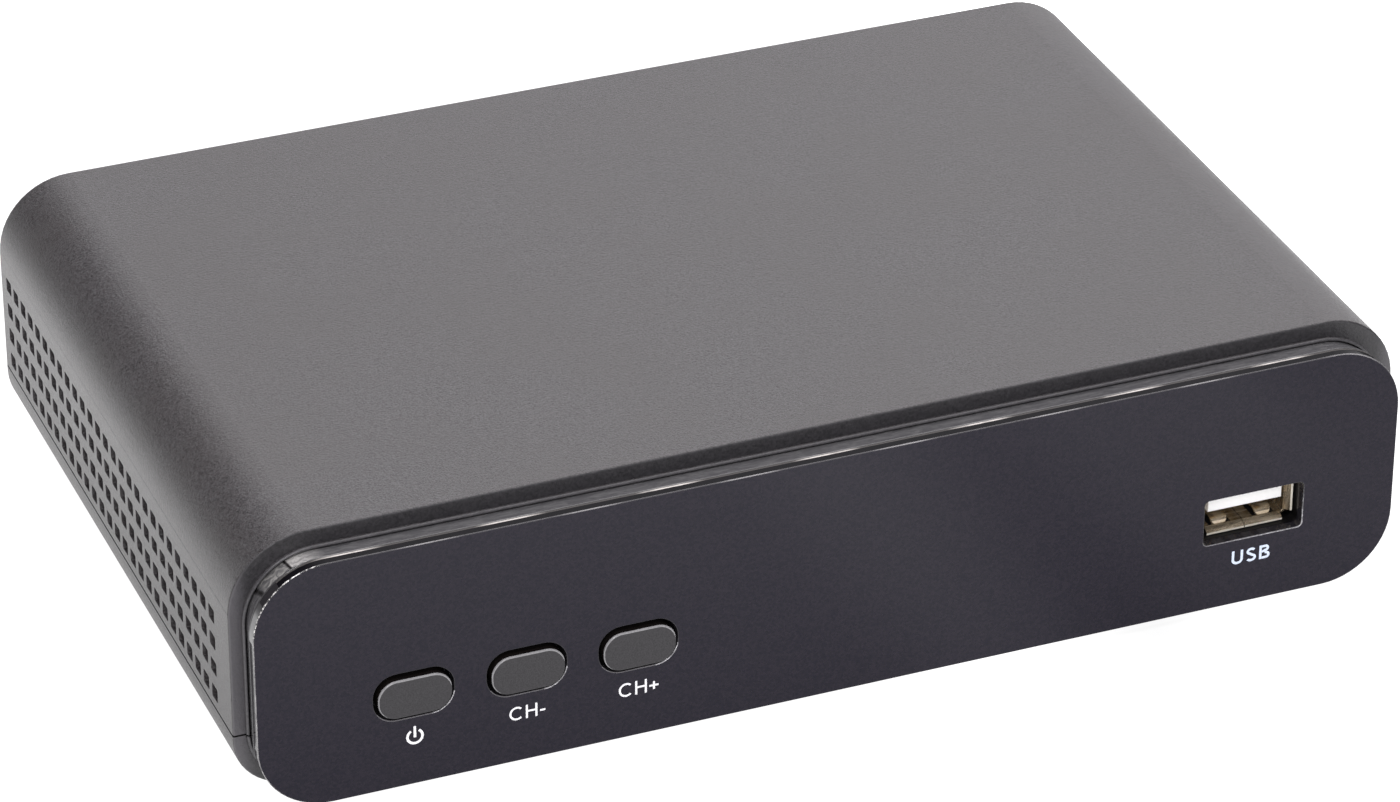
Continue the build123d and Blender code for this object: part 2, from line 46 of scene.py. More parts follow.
# ---------------------------------------------------------------------------
# camera
# ---------------------------------------------------------------------------
YAW, PITCH, ROLL = 0.388, 0.5368, 0.0047
fw = Vector((math.sin(YAW) * math.cos(PITCH), math.cos(YAW) * math.cos(PITCH), -math.sin(PITCH)))
rt = Vector((math.cos(YAW), -math.sin(YAW), 0.0))
up = rt.cross(fw)
r2 = rt * math.cos(ROLL) + up * math.sin(ROLL)
u2 = up * math.cos(ROLL) - rt * math.sin(ROLL)
cam_data = bpy.data.cameras.new("camera")
cam_data.sensor_fit = 'HORIZONTAL'
cam_data.sensor_width = 36.0
cam_data.lens = 153.714
cam_data.shift_x = -0.01309
cam_data.shift_y = 0.03219
cam_data.clip_start = 0.02
cam_data.clip_end = 20.0
cam = bpy.data.objects.new("camera", cam_data)
scene.collection.objects.link(cam)
m = Matrix((r2, u2, -fw)).transposed().to_4x4()
m.translation = Vector((-0.2730672, -0.6837711, 0.4445172))
cam.matrix_world = m
scene.camera = cam

# ---------------------------------------------------------------------------
# floor, world and lights
# ---------------------------------------------------------------------------
scene.view_settings.view_transform = 'Standard'


class Nodes:
    """short words for the nodes of one material"""

    def __init__(self, mat):
        self.t = mat.node_tree
        self._obj = None

    def new(self, kind, **props):
        n = self.t.nodes.new(kind)
        for k, v in props.items():
            setattr(n, k, v)
        return n

    def put(self, socket, value):
        if isinstance(value, bpy.types.NodeSocket):
            self.t.links.new(value, socket)
        elif isinstance(value, (tuple, list)) and len(value) == 3 and socket.type == 'RGBA':
            socket.default_value = (*value, 1.0)
        else:
            socket.default_value = value

    def obj(self):
        if self._obj is None:
            self._obj = self.new('ShaderNodeTexCoord').outputs['Object']
        return self._obj

    def xyz(self, vec=None):
        n = self.new('ShaderNodeSeparateXYZ')
        self.put(n.inputs[0], vec or self.obj())
        return n.outputs

    def scaled(self, sx, sy, sz, vec=None):
        n = self.new('ShaderNodeMapping')
        self.put(n.inputs['Vector'], vec or self.obj())
        n.inputs['Scale'].default_value = (sx, sy, sz)
        return n.outputs[0]

    def noise(self, scale, detail=2.0, rough=0.5, vec=None, distortion=0.0, out='Fac'):
        n = self.new('ShaderNodeTexNoise')
        self.put(n.inputs['Vector'], vec or self.obj())
        n.inputs['Scale'].default_value = scale
        n.inputs['Detail'].default_value = detail
        n.inputs['Roughness'].default_value = rough
        n.inputs['Distortion'].default_value = distortion
        return n.outputs[out]

    def voronoi(self, scale, vec=None, feature='F1', out='Distance', random=1.0):
        n = self.new('ShaderNodeTexVoronoi', feature=feature)
        self.put(n.inputs['Vector'], vec or self.obj())
        n.inputs['Scale'].default_value = scale
        n.inputs['Randomness'].default_value = random
        return n.outputs[out]

    def remap(self, value, a, b, c, d, smooth=False):
        n = self.new('ShaderNodeMapRange')
        if smooth:
            n.interpolation_type = 'SMOOTHSTEP'
        self.put(n.inputs['Value'], value)
        for k, v in zip(('From Min', 'From Max', 'To Min', 'To Max'), (a, b, c, d)):
            n.inputs[k].default_value = v
        return n.outputs[0]

    def math(self, op, a, b=0.0):
        n = self.new('ShaderNodeMath', operation=op)
        self.put(n.inputs[0], a)
        self.put(n.inputs[1], b)
        return n.outputs[0]

    def mix(self, fac, a, b):
        n = self.new('ShaderNodeMix', data_type='RGBA')
        self.put(n.inputs[0], fac)
        self.put(n.inputs[6], a)
        self.put(n.inputs[7], b)
        return n.outputs[2]

    def bump(self, height, distance, strength=1.0, normal=None):
        n = self.new('ShaderNodeBump')
        self.put(n.inputs['Height'], height)
        n.inputs['Distance'].default_value = distance
        n.inputs['Strength'].default_value = strength
        if normal is not None:
            self.put(n.inputs['Normal'], normal)
        return n.outputs[0]


def material(name, roughness=0.5, metallic=0.0, ior=1.5, **sockets):
    mat = bpy.data.materials.new(name)
    mat.use_nodes = True
    mat.node_tree.nodes.clear()
    k = Nodes(mat)
    out = k.new('ShaderNodeOutputMaterial')
    b = k.new('ShaderNodeBsdfPrincipled')
    k.t.links.new(b.outputs[0], out.inputs[0])
    b.inputs['Roughness'].default_value = roughness
    b.inputs['Metallic'].default_value = metallic
    b.inputs['IOR'].default_value = ior
    for key, v in sockets.items():
        b.inputs[key].default_value = v
    return mat, k, b.inputs


def grey(v, tint=(1.0, 1.0, 1.0)):
    return (v * tint[0], v * tint[1], v * tint[2])


# floor
fmesh = bpy.data.meshes.new("floor")
R = 8.0
FZ = -0.00002
fmesh.from_pydata([(-R, -R, FZ), (R, -R, FZ), (R, R, FZ), (-R, R, FZ)], [], [(0, 1, 2, 3)])
floor = bpy.data.objects.new("floor", fmesh)
scene.collection.objects.link(floor)
mat, k, p = material("floor_light_table", roughness=0.9)
k.put(p['Base Color'], k.mix(k.noise(6.0, 3.0), (0.150, 0.150, 0.152), (0.165, 0.165, 0.165)))
k.put(p['Normal'], k.bump(k.noise(900.0, 2.0), 0.00002))
p['Emission Color'].default_value = (1.0, 1.0, 1.0, 1.0)
x, y, z = k.xyz()
front = k.remap(y, -0.118, -0.062, 1.52, 1.06)
band_a = k.remap(k.math('ABSOLUTE', k.math('SUBTRACT', x, 0.022)), 0.0, 0.020, 0.26, 0.0, True)
band_b = k.remap(k.math('ABSOLUTE', k.math('SUBTRACT', x, 0.047)), 0.0, 0.016, 0.20, 0.0, True)
near = k.math('MULTIPLY', k.remap(y, -0.300, -0.150, 0.0, 1.0, True), k.remap(y, -0.060, -0.054, 1.0, 0.0))
front = k.math('ADD', front, k.math('MULTIPLY', near, k.math('SUBTRACT', band_a, band_b)))
beside = k.remap(k.math('ABSOLUTE', x), 0.084, 0.100, 0.0, 1.0, True)
side = k.remap(y, -0.050, 0.055, 1.22, 2.05)
length = k.new('ShaderNodeVectorMath', operation='LENGTH')
k.put(length.inputs[0], k.obj())
local = k.remap(length.outputs['Value'], 0.155, 0.42, 1.0, 0.0, True)
close = k.remap(length.outputs['Value'], 0.150, 0.255, 1.0, 0.0, True)
extra = k.math('MULTIPLY', k.math('MULTIPLY', beside, close), k.math('SUBTRACT', side, front))
k.put(p['Emission Strength'], k.math('ADD', extra, k.math('ADD', 0.45, k.math('MULTIPLY', local, k.math('SUBTRACT', front, 0.45)))))
fmesh.materials.append(mat)

world = bpy.data.worlds.new("world")
scene.world = world
world.use_nodes = True
wt = world.node_tree
wt.nodes['Background'].inputs[0].default_value = (0.10, 0.0985, 0.1015, 1.0)
wt.nodes['Background'].inputs[1].default_value = 1.0


def area(name, loc, target, size, size_y, radiance, color=(1, 1, 1)):
    d = bpy.data.lights.new(name, 'AREA')
    d.shape = 'RECTANGLE'
    d.size, d.size_y = size, size_y
    d.energy = radiance * math.pi * size * size_y
    d.color = color
    o = bpy.data.objects.new(name, d)
    scene.collection.objects.link(o)
    o.location = loc
    o.rotation_euler = (Vector(target) - Vector(loc)).to_track_quat('-Z', 'Y').to_euler()
    return o


SOFT = (0.990, 0.976, 1.0)
area("overhead", (0.32, 0.25, 1.20), (0.32, 0.25, 0.0), 1.6, 1.8, 2.75, SOFT)
area("back_right", (1.25, 2.15, 0.95), (0.0, 0.0, 0.10), 2.9, 1.8, 1.66, SOFT)
area("front_right", (0.85, -1.75, 0.95), (0.0, 0.0, 0.02), 1.1, 0.9, 1.2, SOFT)
area("key", (-0.50, -1.45, 1.05), (0.0, 0.0, 0.02), 0.55, 0.45, 20.0, SOFT)

# ---------------------------------------------------------------------------
# materials, one for each kind of finish
# ---------------------------------------------------------------------------
MATS = {}


def finish_housing(name, base, split_line, coarse=1.0, tint=(1.0, 0.975, 1.0)):
    mat, k, p = material(name, roughness=0.42, ior=1.5)
    cell = k.xyz(k.voronoi(6800.0 * coarse, out='Color'))[0]
    fine = k.math('ADD', k.math('MULTIPLY', cell, 0.6), k.math('MULTIPLY', k.noise(5200.0 * coarse, 2.0, 0.6), 0.4))
    spark = k.noise(2400.0 * coarse, 3.0, 0.6)
    cloud = k.noise(60.0, 3.0, 0.5)
    lo = (base * 0.16 * tint[0], base * 0.155 * tint[1], base * 0.16 * tint[2])
    hi = (base * 1.93 * tint[0], base * 1.92 * tint[1], base * 1.95 * tint[2])
    c = k.mix(k.remap(fine, 0.22, 0.78, 0.0, 1.0), lo, hi)
    c = k.mix(k.remap(cloud, 0.35, 0.65, 0.0, 0.30), c, (base * 1.02, base * 0.94, base * 0.90))
    c = k.mix(k.remap(k.noise(3100.0 * coarse, 2.0, 0.6), 0.36, 0.64, 0.0, 0.24), c, (base * 1.34, base * 0.88, base * 0.97))
    if split_line:
        x, y, z = k.xyz()
        line = k.math('SUBTRACT', 1.0, k.remap(k.math('ABSOLUTE', k.math('SUBTRACT', z, 0.0299)), 0.00004, 0.00014, 0.0, 1.0, True))
        side = k.remap(k.math('ABSOLUTE', x), 0.0840, 0.0842, 0.0, 1.0)
        fade = k.remap(y, -0.030, 0.045, 1.0, 0.35)
        c = k.mix(k.math('MULTIPLY', k.math('MULTIPLY', line, side), fade), c, grey(base * 0.08))
        # painted shade: a dark band on the outer faces either side of the seam gap, fading towards the back
        seam_painted_shade = k.math('SUBTRACT', 1.0, k.remap(k.math('ABSOLUTE', k.math('SUBTRACT', z, 0.0111)), 0.00018, 0.00027, 0.0, 1.0, True))
        c = k.mix(k.math('MULTIPLY', seam_painted_shade, k.remap(y, -0.050, 0.030, 1.0, 0.55)), c, grey(base * 0.06))
        p['IOR'].default_value = 1.5
    k.put(p['Base Color'], c)
    k.put(p['Roughness'], k.remap(fine, 0.3, 0.7, 0.34, 0.50))
    h = k.math('ADD', k.math('MULTIPLY', fine, 0.6), k.math('MULTIPLY', spark, 0.7))
    k.put(p['Normal'], k.bump(h, 0.00016, 0.7))
    return mat


MATS['housing_plastic'] = finish_housing("housing_spark_grain", 0.052, True)
MATS['rear_panel_plastic'] = finish_housing("rear_panel_grain", 0.048, False, 0.8)

# glossy charcoal carrier behind the window, with painted reflections on its upper left corner: light wedge and block
# patches crossed by two dark lines
mat, k, p = material("bezel_gloss_charcoal", roughness=0.14, ior=1.5)
streak = k.remap(k.noise(420.0, 5.0, 0.65, vec=k.scaled(1.0, 3.0, 1.6), distortion=0.8), 0.42, 0.66, 0.0, 1.0)
c = k.mix(streak, (0.085, 0.083, 0.088), (0.140, 0.137, 0.140))
x, y, z = k.xyz()
glint_height_mask = k.remap(z, 0.0305, 0.0330, 0.0, 1.0, True)
glint_blot = k.remap(k.noise(700.0, 4.0, 0.6, distortion=1.4), 0.42, 0.60, 0.0, 1.0)
glint_wedge = k.math('MULTIPLY', k.remap(x, -0.0763, -0.0718, 1.0, 0.0), k.remap(x, -0.0768, -0.0766, 0.0, 1.0))
glint_block = k.math('MULTIPLY', k.remap(x, -0.0770, -0.0769, 1.0, 0.0), k.remap(x, -0.0806, -0.0801, 0.0, 1.0))
c = k.mix(k.math('MULTIPLY', k.math('MULTIPLY', glint_wedge, glint_height_mask), k.remap(glint_blot, 0.0, 1.0, 0.45, 1.0)), c, (0.62, 0.60, 0.58))
c = k.mix(k.math('MULTIPLY', k.math('MULTIPLY', glint_block, glint_height_mask), k.remap(glint_blot, 0.0, 1.0, 0.12, 0.75)), c, (0.42, 0.41, 0.39))
painted_reflection_gaps = k.math('ADD', k.remap(k.math('ABSOLUTE', k.math('ADD', x, 0.07685)), 0.00008, 0.00028, 1.0, 0.0),
               k.remap(k.math('ABSOLUTE', k.math('ADD', x, 0.0808)), 0.00008, 0.00030, 1.0, 0.0))
k.put(p['Base Color'], k.mix(k.math('MULTIPLY', painted_reflection_gaps, glint_height_mask), c, (0.012, 0.011, 0.011)))
k.put(p['Roughness'], k.remap(k.noise(900.0, 3.0), 0.3, 0.7, 0.10, 0.22))
k.put(p['Normal'], k.bump(k.noise(380.0, 2.0), 0.00006, 0.25))
MATS['bezel_plastic'] = mat



def painted_edge_glints(k, shift=0.0022):
    """painted highlights: bright runs about 10 mm long and 22.4 mm apart, where the moulded edge would catch the light
    """
    x = k.xyz()[0]
    wave = k.math('COSINE', k.math('MULTIPLY', k.math('ADD', x, shift), 2 * math.pi / 0.0224))
    run = k.remap(wave, 0.10, 0.95, 0.0, 1.0, True)
    return k.math('MULTIPLY', run, k.remap(k.noise(420.0, 3.0), 0.30, 0.58, 0.50, 1.0))


# front edge of the carrier: dark base colour with runs of painted highlight
mat, k, p = material("bezel_front_edge_painted_glints", roughness=0.18, ior=1.5)
k.put(p['Base Color'], k.mix(painted_edge_glints(k), (0.060, 0.058, 0.060), (0.17, 0.166, 0.165)))
MATS['bezel_edge'] = mat

# clear acrylic
mat, k, p = material("window_clear_acrylic", roughness=0.0, ior=1.49)
p['Transmission Weight'].default_value = 1.0
k.put(p['Base Color'], k.mix(k.noise(25.0, 2.0), (0.985, 0.985, 1.0), (1.0, 1.0, 1.0)))
k.put(p['Roughness'], k.remap(k.noise(60.0, 3.0), 0.3, 0.7, 0.0, 0.02))
MATS['window_acrylic'] = mat

# the same acrylic where its front face lies over the dark print, bonded to it: print colour under a polished surface
mat, k, p = material("window_face_over_print", roughness=0.03, ior=1.33)
grain = k.xyz(k.voronoi(3400.0, out='Color'))[0]
k.put(p['Base Color'], k.mix(grain, (0.0010, 0.0001, 0.0080), (0.0098, 0.0064, 0.0154)))
k.put(p['Roughness'], k.remap(k.noise(90.0, 3.0), 0.3, 0.7, 0.025, 0.06))
MATS['window_face'] = mat

# dark print behind it
mat, k, p = material("mask_dark_print", roughness=0.45, ior=1.3)
k.put(p['Base Color'], k.mix(k.noise(500.0, 2.0), (0.0022, 0.0016, 0.0042), (0.0030, 0.0022, 0.0052)))
MATS['mask_film'] = mat

# buttons
mat, k, p = material("button_satin", roughness=0.38, ior=1.40)
g = k.noise(5200.0, 2.0, 0.6)
k.put(p['Base Color'], k.mix(k.remap(g, 0.28, 0.72, 0.0, 1.0), (0.0150, 0.0138, 0.0160), (0.0390, 0.0365, 0.0405)))
k.put(p['Roughness'], k.remap(g, 0.3, 0.7, 0.34, 0.46))
k.put(p['Normal'], k.bump(g, 0.00003, 0.4))
MATS['button_plastic'] = mat

# button sides: near-black base colour as painted shade
mat, k, p = material("button_side_painted_shade", roughness=0.12, ior=1.45)
k.put(p['Base Color'], k.mix(k.noise(900.0, 2.0), (0.006, 0.005, 0.005), (0.011, 0.009, 0.008)))
MATS['button_side'] = mat
# top and left rims of the buttons: light base colour as a painted highlight
mat, k, p = material("button_rim_painted_highlight", roughness=0.26, ior=1.5)
k.put(p['Base Color'], k.mix(k.noise(2400.0, 2.0), (0.20, 0.196, 0.202), (0.34, 0.334, 0.342)))
MATS['button_rim'] = mat

# rounded front edge of the acrylic, and its left rim: painted highlight, a lighter base colour with painted glint runs
# on the edge, and a painted glow with painted sparkles on the left rim
mat, k, p = material("window_edge_painted_highlight", roughness=0.08, ior=1.49)
c = k.mix(k.noise(1600.0, 3.0), (0.036, 0.034, 0.038), (0.086, 0.082, 0.088))
k.put(p['Base Color'], k.mix(k.math('MULTIPLY', painted_edge_glints(k, -0.0085), 0.75), c, (0.34, 0.33, 0.335)))
MATS['window_edge'] = mat
mat, k, p = material("window_left_rim_painted_glint", roughness=0.10, ior=1.49)
c = k.mix(k.remap(k.noise(1100.0, 3.0, 0.6), 0.36, 0.66, 0.0, 1.0), (0.13, 0.125, 0.132), (0.36, 0.35, 0.35))
# painted sparkles of light on the upper part of the left rim
spark = k.mix(k.remap(k.noise(2900.0, 2.0, 0.6), 0.46, 0.58, 0.0, 1.0), (0.060, 0.058, 0.060), (0.78, 0.76, 0.74))
k.put(p['Base Color'], k.mix(k.remap(k.xyz()[2], 0.0270, 0.0300, 0.0, 1.0, True), c, spark))
MATS['window_left_rim_painted_glint'] = mat
# lower rims of the holes: lighter base colour as painted light
mat, k, p = material("window_hole_rim_painted_light", roughness=0.12, ior=1.45)
k.put(p['Base Color'], k.mix(k.noise(1500.0, 3.0), (0.080, 0.077, 0.082), (0.20, 0.193, 0.204)))
MATS['window_hole_lit'] = mat
# lower right corners of the holes: bright base colour as a painted highlight
mat, k, p = material("window_hole_painted_glint", roughness=0.12, ior=1.49)
k.put(p['Base Color'], k.mix(k.remap(k.noise(1900.0, 3.0), 0.38, 0.60, 0.0, 1.0), (0.20, 0.197, 0.205), (0.56, 0.55, 0.57)))
MATS['window_hole_bright'] = mat
# front rim of the USB socket: near-white, barely metallic base colour as a painted highlight
mat, k, p = material("socket_front_rim_painted_highlight", roughness=0.42, metallic=0.1)
k.put(p['Base Color'], k.mix(k.noise(1400.0, 3.0), (0.80, 0.74, 0.62), (0.96, 0.92, 0.82)))
MATS['socket_rim'] = mat
mat, k, p = material("window_side_polished", roughness=0.05, ior=1.49)
k.put(p['Base Color'], k.mix(k.noise(300.0, 3.0), (0.012, 0.011, 0.013), (0.030, 0.028, 0.031)))
k.put(p['Roughness'], k.remap(k.noise(120.0, 3.0), 0.3, 0.7, 0.03, 0.10))
MATS['window_side'] = mat
# rims of the acrylic over the print: dark, with runs of painted highlight along their back edge
mat, k, p = material("window_top_rim", roughness=0.16, ior=1.12)
dark = k.mix(k.noise(500.0, 3.0), (0.003, 0.003, 0.004), (0.008, 0.007, 0.009))
rear_edge_glint = k.remap(k.xyz()[1], -0.05934, -0.05924, 0.0, 1.0, True)
k.put(p['Base Color'], k.mix(k.math('MULTIPLY', rear_edge_glint, k.remap(painted_edge_glints(k), 0.0, 1.0, 0.11, 1.0)), dark, (0.68, 0.635, 0.60)))
MATS['window_top_rim'] = mat
mat, k, p = material("window_hole_rim", roughness=0.10, ior=1.45)
k.put(p['Base Color'], k.mix(k.noise(900.0, 3.0), (0.014, 0.013, 0.016), (0.034, 0.032, 0.037)))
MATS['window_hole'] = mat
# painted shade: near-black for the walls of the carrier's holes, the groove round the window and the sheet under the
# USB socket
mat, k, p = material("recess_painted_shade", roughness=0.5, ior=1.4)
k.put(p['Base Color'], k.mix(k.noise(1200.0, 2.0), (0.003, 0.003, 0.003), (0.008, 0.007, 0.008)))
MATS['recess_painted_shade'] = mat
mat, k, p = material("seam_shadow", roughness=0.7, ior=1.3)
k.put(p['Base Color'], k.mix(k.noise(1800.0, 2.0), (0.004, 0.004, 0.004), (0.010, 0.009, 0.009)))
MATS['seam_shadow'] = mat

# front step of the housing: the same plastic with a finer grain, darker as painted shade, with painted light on its
# left and right ends
mat, k, p = material("housing_step_painted_shade_and_light", roughness=0.38, ior=1.5)
g = k.noise(2600.0, 3.0, 0.65)
step_end_painted_light = k.remap(k.math('ABSOLUTE', k.xyz()[0]), 0.0815, 0.0840, 0.0, 1.0, True)
c = k.mix(k.remap(g, 0.3, 0.7, 0.0, 1.0), (0.020, 0.019, 0.021), (0.050, 0.0475, 0.052))
k.put(p['Base Color'], k.mix(k.math('MULTIPLY', step_end_painted_light, 0.7), c, (0.115, 0.109, 0.119)))
k.put(p['Roughness'], k.remap(g, 0.3, 0.7, 0.30, 0.46))
k.put(p['Normal'], k.bump(g, 0.00012, 0.6))
MATS['housing_step'] = mat
# lip round the window: the same plastic, lighter as painted light
mat, k, p = material("housing_lip_painted_light", roughness=0.34, ior=1.5)
g = k.noise(2600.0, 3.0, 0.65)
k.put(p['Base Color'], k.mix(k.remap(g, 0.3, 0.7, 0.0, 1.0), (0.050, 0.048, 0.052), (0.095, 0.091, 0.097)))
k.put(p['Normal'], k.bump(g, 0.00008, 0.5))
MATS['housing_lip'] = mat


def simple(name, lo, hi, r0, r1, scale=900.0, bump=0.00002, metallic=0.0, detail=2.0, stretch=None, strength=0.5):
    mat, k, p = material(name, metallic=metallic)
    vec = k.scaled(*stretch) if stretch else None
    g = k.noise(scale, detail, 0.55, vec=vec)
    k.put(p['Base Color'], k.mix(g, lo, hi))
    k.put(p['Roughness'], k.remap(g, 0.3, 0.7, r0, r1))
    k.put(p['Normal'], k.bump(g, bump, strength))
    return mat


MATS['plunger_plastic'] = simple("plunger_plastic", (0.012, 0.012, 0.012), (0.02, 0.02, 0.02), 0.4, 0.55)
MATS['switch_steel'] = simple("switch_steel", (0.55, 0.55, 0.53), (0.68, 0.67, 0.65), 0.28, 0.42, metallic=1.0, stretch=(1, 1, 12), scale=300.0)
MATS['screw_steel'] = simple("screw_zinc", (0.48, 0.48, 0.47), (0.64, 0.63, 0.60), 0.25, 0.42, metallic=1.0, scale=1500.0)
MATS['infrared_epoxy'] = simple("infrared_epoxy", (0.008, 0.006, 0.010), (0.014, 0.010, 0.016), 0.10, 0.18, scale=200.0)
MATS['led_epoxy'] = simple("led_epoxy", (0.62, 0.62, 0.60), (0.72, 0.72, 0.70), 0.15, 0.3, scale=400.0)
MATS['chip_epoxy'] = simple("chip_epoxy", (0.014, 0.014, 0.015), (0.024, 0.024, 0.025), 0.45, 0.6, scale=2500.0, bump=0.00004)
MATS['contact_brass'] = simple("contact_plated", (0.78, 0.58, 0.26), (0.88, 0.68, 0.34), 0.2, 0.32, metallic=1.0, scale=1200.0)
MATS['can_steel'] = simple("can_tinned", (0.55, 0.55, 0.55), (0.68, 0.68, 0.67), 0.3, 0.45, metallic=1.0, stretch=(1, 8, 1), scale=260.0)
MATS['socket_nickel'] = simple("socket_nickel", (0.60, 0.585, 0.55), (0.72, 0.70, 0.66), 0.16, 0.28, metallic=1.0, scale=800.0)
MATS['tongue_plastic'] = simple("tongue_off_white", (0.92, 0.915, 0.90), (0.97, 0.965, 0.955), 0.30, 0.45, scale=1500.0)
MATS['insulator_plastic'] = simple("insulator_white", (0.74, 0.74, 0.72), (0.82, 0.82, 0.80), 0.35, 0.5, scale=1500.0)
MATS['audio_orange_plastic'] = simple("audio_orange", (0.62, 0.16, 0.015), (0.74, 0.21, 0.02), 0.35, 0.48, scale=1500.0)
MATS['pad_rubber'] = simple("thermal_pad", (0.28, 0.33, 0.38), (0.36, 0.41, 0.46), 0.75, 0.9, scale=1800.0, bump=0.00006)
MATS['heat_sink_aluminium'] = simple("heat_sink_aluminium", (0.50, 0.50, 0.51), (0.62, 0.62, 0.63), 0.3, 0.45, metallic=1.0, stretch=(14, 1, 1), scale=260.0)
MATS['capacitor_sleeve'] = simple("capacitor_sleeve", (0.012, 0.013, 0.018), (0.02, 0.021, 0.028), 0.25, 0.35, scale=600.0)
MATS['coil_ferrite'] = simple("coil_ferrite", (0.05, 0.05, 0.052), (0.09, 0.09, 0.092), 0.6, 0.75, scale=3000.0, bump=0.00006)
MATS['foot_rubber'] = simple("foot_rubber", (0.014, 0.014, 0.014), (0.026, 0.026, 0.026), 0.7, 0.85, scale=2200.0, bump=0.00008)

# nickel-plated socket steel, slightly warm
mat, k, p = material("socket_steel", metallic=0.9)
g = k.noise(160.0, 4.0, 0.6, vec=k.scaled(1.0, 7.0, 1.0))
k.put(p['Base Color'], k.mix(k.remap(g, 0.32, 0.68, 0.0, 1.0), (0.32, 0.25, 0.155), (0.72, 0.61, 0.46)))
k.put(p['Roughness'], k.remap(g, 0.3, 0.7, 0.15, 0.32))
k.put(p['Normal'], k.bump(g, 0.00003, 0.3))
MATS['socket_steel'] = mat

# green circuit board with faint tracks
mat, k, p = material("board_solder_resist", roughness=0.3)
cells = k.voronoi(420.0, feature='DISTANCE_TO_EDGE')
tracks = k.remap(cells, 0.02, 0.05, 1.0, 0.0, True)
c = k.mix(k.noise(300.0, 3.0), (0.012, 0.085, 0.030), (0.020, 0.12, 0.045))
k.put(p['Base Color'], k.mix(k.math('MULTIPLY', tracks, 0.6), c, (0.035, 0.19, 0.075)))
k.put(p['Normal'], k.bump(tracks, 0.00003, 0.5))
MATS['board_laminate'] = mat

for sub in frame["record"]["subparts"]:
    o = N[sub["node"]]
    o.data.materials.clear()
    o.data.materials.append(MATS[sub["material_slot"]])

def sort_faces(node, rules):
    """give the faces that a rule picks that rule's material; the first rule that fits counts"""
    me = N[node].data
    slots = []
    for m_, _ in rules:
        me.materials.append(m_)
        slots.append(len(me.materials) - 1)
    for q in me.polygons:
        c, n_ = q.center, q.normal
        for (m_, test), slot in zip(rules, slots):
            if test(c, n_):
                q.material_index = slot
                break


# the window's flat faces and its rounded front edge look like acrylic over print, the front edge, left rim and lower
# rims of the holes with painted highlights and the top and bottom rims with painted glints along their back edge; the
# rest of its rim and holes stay clear
HOLES = [(x, 0.01545, 0.0075, 0.0050) for x in (-0.0613, -0.04545, -0.02965)] + [(0.06145, 0.01534, 0.0086, 0.0046)]


def in_hole(c):
    return next(((c.x - x, c.z - z) for x, z, w, h in HOLES if abs(c.x - x) < w and abs(c.z - z) < h), None)


def painted_light_hole_rim(c):
    """the lower rims of the holes, painted lighter as if the acrylic piped light out"""
    d = in_hole(c)
    return d is not None and d[1] < -0.0022


def painted_glint_hole_corner(c):
    """the lower right corner of each hole, with the brightest painted highlight of all"""
    d = in_hole(c)
    return d is not None and d[0] > 0.0018 and -0.0040 < d[1] < -0.0009


sort_faces("front_window", [
    (MATS['window_face'], lambda c, n_: abs(n_.y) > 0.999),
    (MATS['window_top_rim'], lambda c, n_: c.y < -0.0603 and c.z < 0.0060 and n_.z < -0.15 and in_hole(c) is None),
    (MATS['window_hole_bright'], lambda c, n_: c.y < -0.0603 and abs(n_.y) > 0.02 and painted_glint_hole_corner(c)),
    (MATS['window_hole_lit'], lambda c, n_: c.y < -0.0603 and abs(n_.y) > 0.02 and painted_light_hole_rim(c)),
    (MATS['window_left_rim_painted_glint'], lambda c, n_: c.y < -0.0603 and c.x < -0.0715 and c.z > 0.0080 and abs(n_.y) > 0.02),
    (MATS['window_edge'], lambda c, n_: c.y < -0.0603 and abs(n_.y) > 0.02 and in_hole(c) is None),
    (MATS['window_hole'], lambda c, n_: in_hole(c) is not None),
    (MATS['window_side'], lambda c, n_: c.x < -0.0800 and n_.x < -0.80),
    (MATS['window_top_rim'], lambda c, n_: n_.z > (0.75 if c.x < 0 else 0.30)),
    (MATS['window_side'], lambda c, n_: c.x < -0.0700 and c.z > 0.0280 and n_.x < -0.1),
])
# the walls of the carrier's holes get painted shade, its front edge runs of painted highlight
sort_faces("front_bezel", [
    (MATS['recess_painted_shade'], lambda c, n_: in_hole(c) is not None and c.y < -0.0525),
    (MATS['bezel_edge'], lambda c, n_: c.y < -0.0586 and abs(n_.y) < 0.98 and n_.z > 0.15),
])
# the socket's front rim gets the painted highlight
sort_faces("usb_shell", [
    (MATS['socket_rim'], lambda c, n_: c.y < -0.0579 and n_.y < -0.80),
])
# the narrow front face of the housing round the window is smoother than its grained sides; the faces in the groove
# round the window get painted shade, the lip and step their painted light and shade, and the faces in the seam gap
# painted shadow
for nm_ in ("top_cover", "bottom_cover"):
    sort_faces(nm_, [
        (MATS['recess_painted_shade'], lambda c, n_: c.y < -0.0530 and abs(n_.y) < 0.3 and n_.x * c.x + n_.z * (c.z - 0.02) < 0
            and abs(c.x) < 0.0835),
        (MATS['housing_lip'], lambda c, n_: c.y < -0.0553),
        (MATS['housing_step'], lambda c, n_: c.y < -0.0549 and n_.y < -0.70),
        (MATS['seam_shadow'], lambda c, n_: 0.0100 < c.z < 0.0125 and 0.0815 < abs(c.x) < 0.0842),
        (MATS['seam_shadow'], lambda c, n_: abs(c.z - 0.0111) < 0.0003 and abs(n_.z) > 0.9),
    ])
